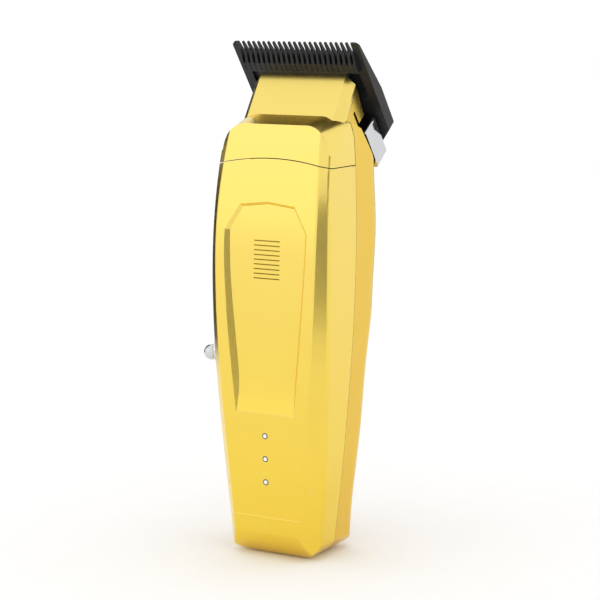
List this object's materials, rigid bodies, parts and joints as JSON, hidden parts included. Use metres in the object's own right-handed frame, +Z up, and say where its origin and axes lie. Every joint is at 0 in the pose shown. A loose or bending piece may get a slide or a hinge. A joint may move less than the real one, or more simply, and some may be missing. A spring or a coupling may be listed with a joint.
{
  "type": "hair clipper",
  "caption": "Cordless metal hair clipper with a tapering body, adjustable wide blade, side taper lever and indicator lights.",
  "frame": {"origin": "centre of the flat base, at the mouth of the charging socket", "axes": "+X to the right as seen from the front face, +Y towards the back, +Z up towards the blades"},
  "size_m": [0.0526, 0.0472, 0.1664],
  "materials": {
    "light_gold": "satin, lightly brushed",
    "deep_gold": "satin",
    "black_blade": "matt black coating",
    "chrome": "polished",
    "black_plastic": "matt",
    "steel": "bright",
    "dark_screw": "black oxide",
    "nylon": "natural",
    "motor_silver": "plain",
    "magnet": "nickel",
    "copper": "bare copper",
    "cell_wrap": "shrink wrap",
    "board_green": "solder mask",
    "lens_white": "translucent white",
    "bezel_grey": "satin",
    "switch_black": "matt",
    "button_gold": "satin"
  },
  "bodies": {
    "case": {"base_insert": "black_plastic", "battery_cell": "cell_wrap", "battery_cradle": "black_plastic", "battery_terminal": "steel", "carriage_screws": "steel", "case_screws": "dark_screw", "charging_contacts": "copper", "charging_socket": "motor_silver", "circuit_board": "board_green", "cutter_tension_spring": "steel", "front_shell": "light_gold", "head_cap": "light_gold", "head_frame": "black_plastic", "indicator_bezel_low": "bezel_grey", "indicator_bezel_middle": "bezel_grey", "indicator_bezel_top": "bezel_grey", "indicator_chips": "lens_white", "indicator_lens_low": "lens_white", "indicator_lens_middle": "lens_white", "indicator_lens_top": "lens_white", "lever_washer": "nylon", "motor_bearings": "steel", "motor_can": "motor_silver", "motor_end_bell": "motor_silver", "motor_mount": "black_plastic", "motor_screws": "steel", "rear_shell": "deep_gold", "stator_core": "steel", "stator_windings": "copper", "switch_board": "board_green", "tactile_switch": "switch_black"},
    "lever": {"taper_lever": "chrome", "lever_ball": "chrome", "lever_shaft": "steel", "lever_screw": "chrome"},
    "carriage": {"blade_carriage": "chrome", "fixed_blade": "black_blade", "blade_screws": "dark_screw"},
    "cutter": {"moving_cutter": "black_blade", "cutter_holder": "black_plastic"},
    "rotor": {"rotor_shaft": "steel", "rotor_magnet": "magnet", "eccentric_cam": "steel", "cam_roller": "nylon"},
    "button": {"power_button": "button_gold"}
  },
  "joints": [
    {"name": "lever_swing", "type": "hinge", "parent": "case", "child": "lever", "pos_m": [-0.0226, 0.0105, 0.118], "axis": [1, 0, 0], "range_deg": [0, 26]},
    {"name": "carriage_slide", "type": "slide", "parent": "case", "child": "carriage", "axis": [0, 0.6129, -0.7902], "range_m": [0, 0.0017]},
    {"name": "cutter_slide", "type": "slide", "parent": "case", "child": "cutter", "axis": [1, 0, 0], "range_m": [-0.0012, 0.0012]},
    {"name": "motor_spin", "type": "hinge", "parent": "case", "child": "rotor", "pos_m": [0, 0.0035, 0.11], "axis": [0, 0, 1], "continuous": true},
    {"name": "power_press", "type": "slide", "parent": "case", "child": "button", "axis": [1, 0, 0], "range_m": [0, 0.0006], "stiffness_N_per_m": 600}
  ],
  "couplings": [
    {"joint": "carriage_slide", "follows": "lever_swing", "m_per_rad": 0.0037463}
  ]
}
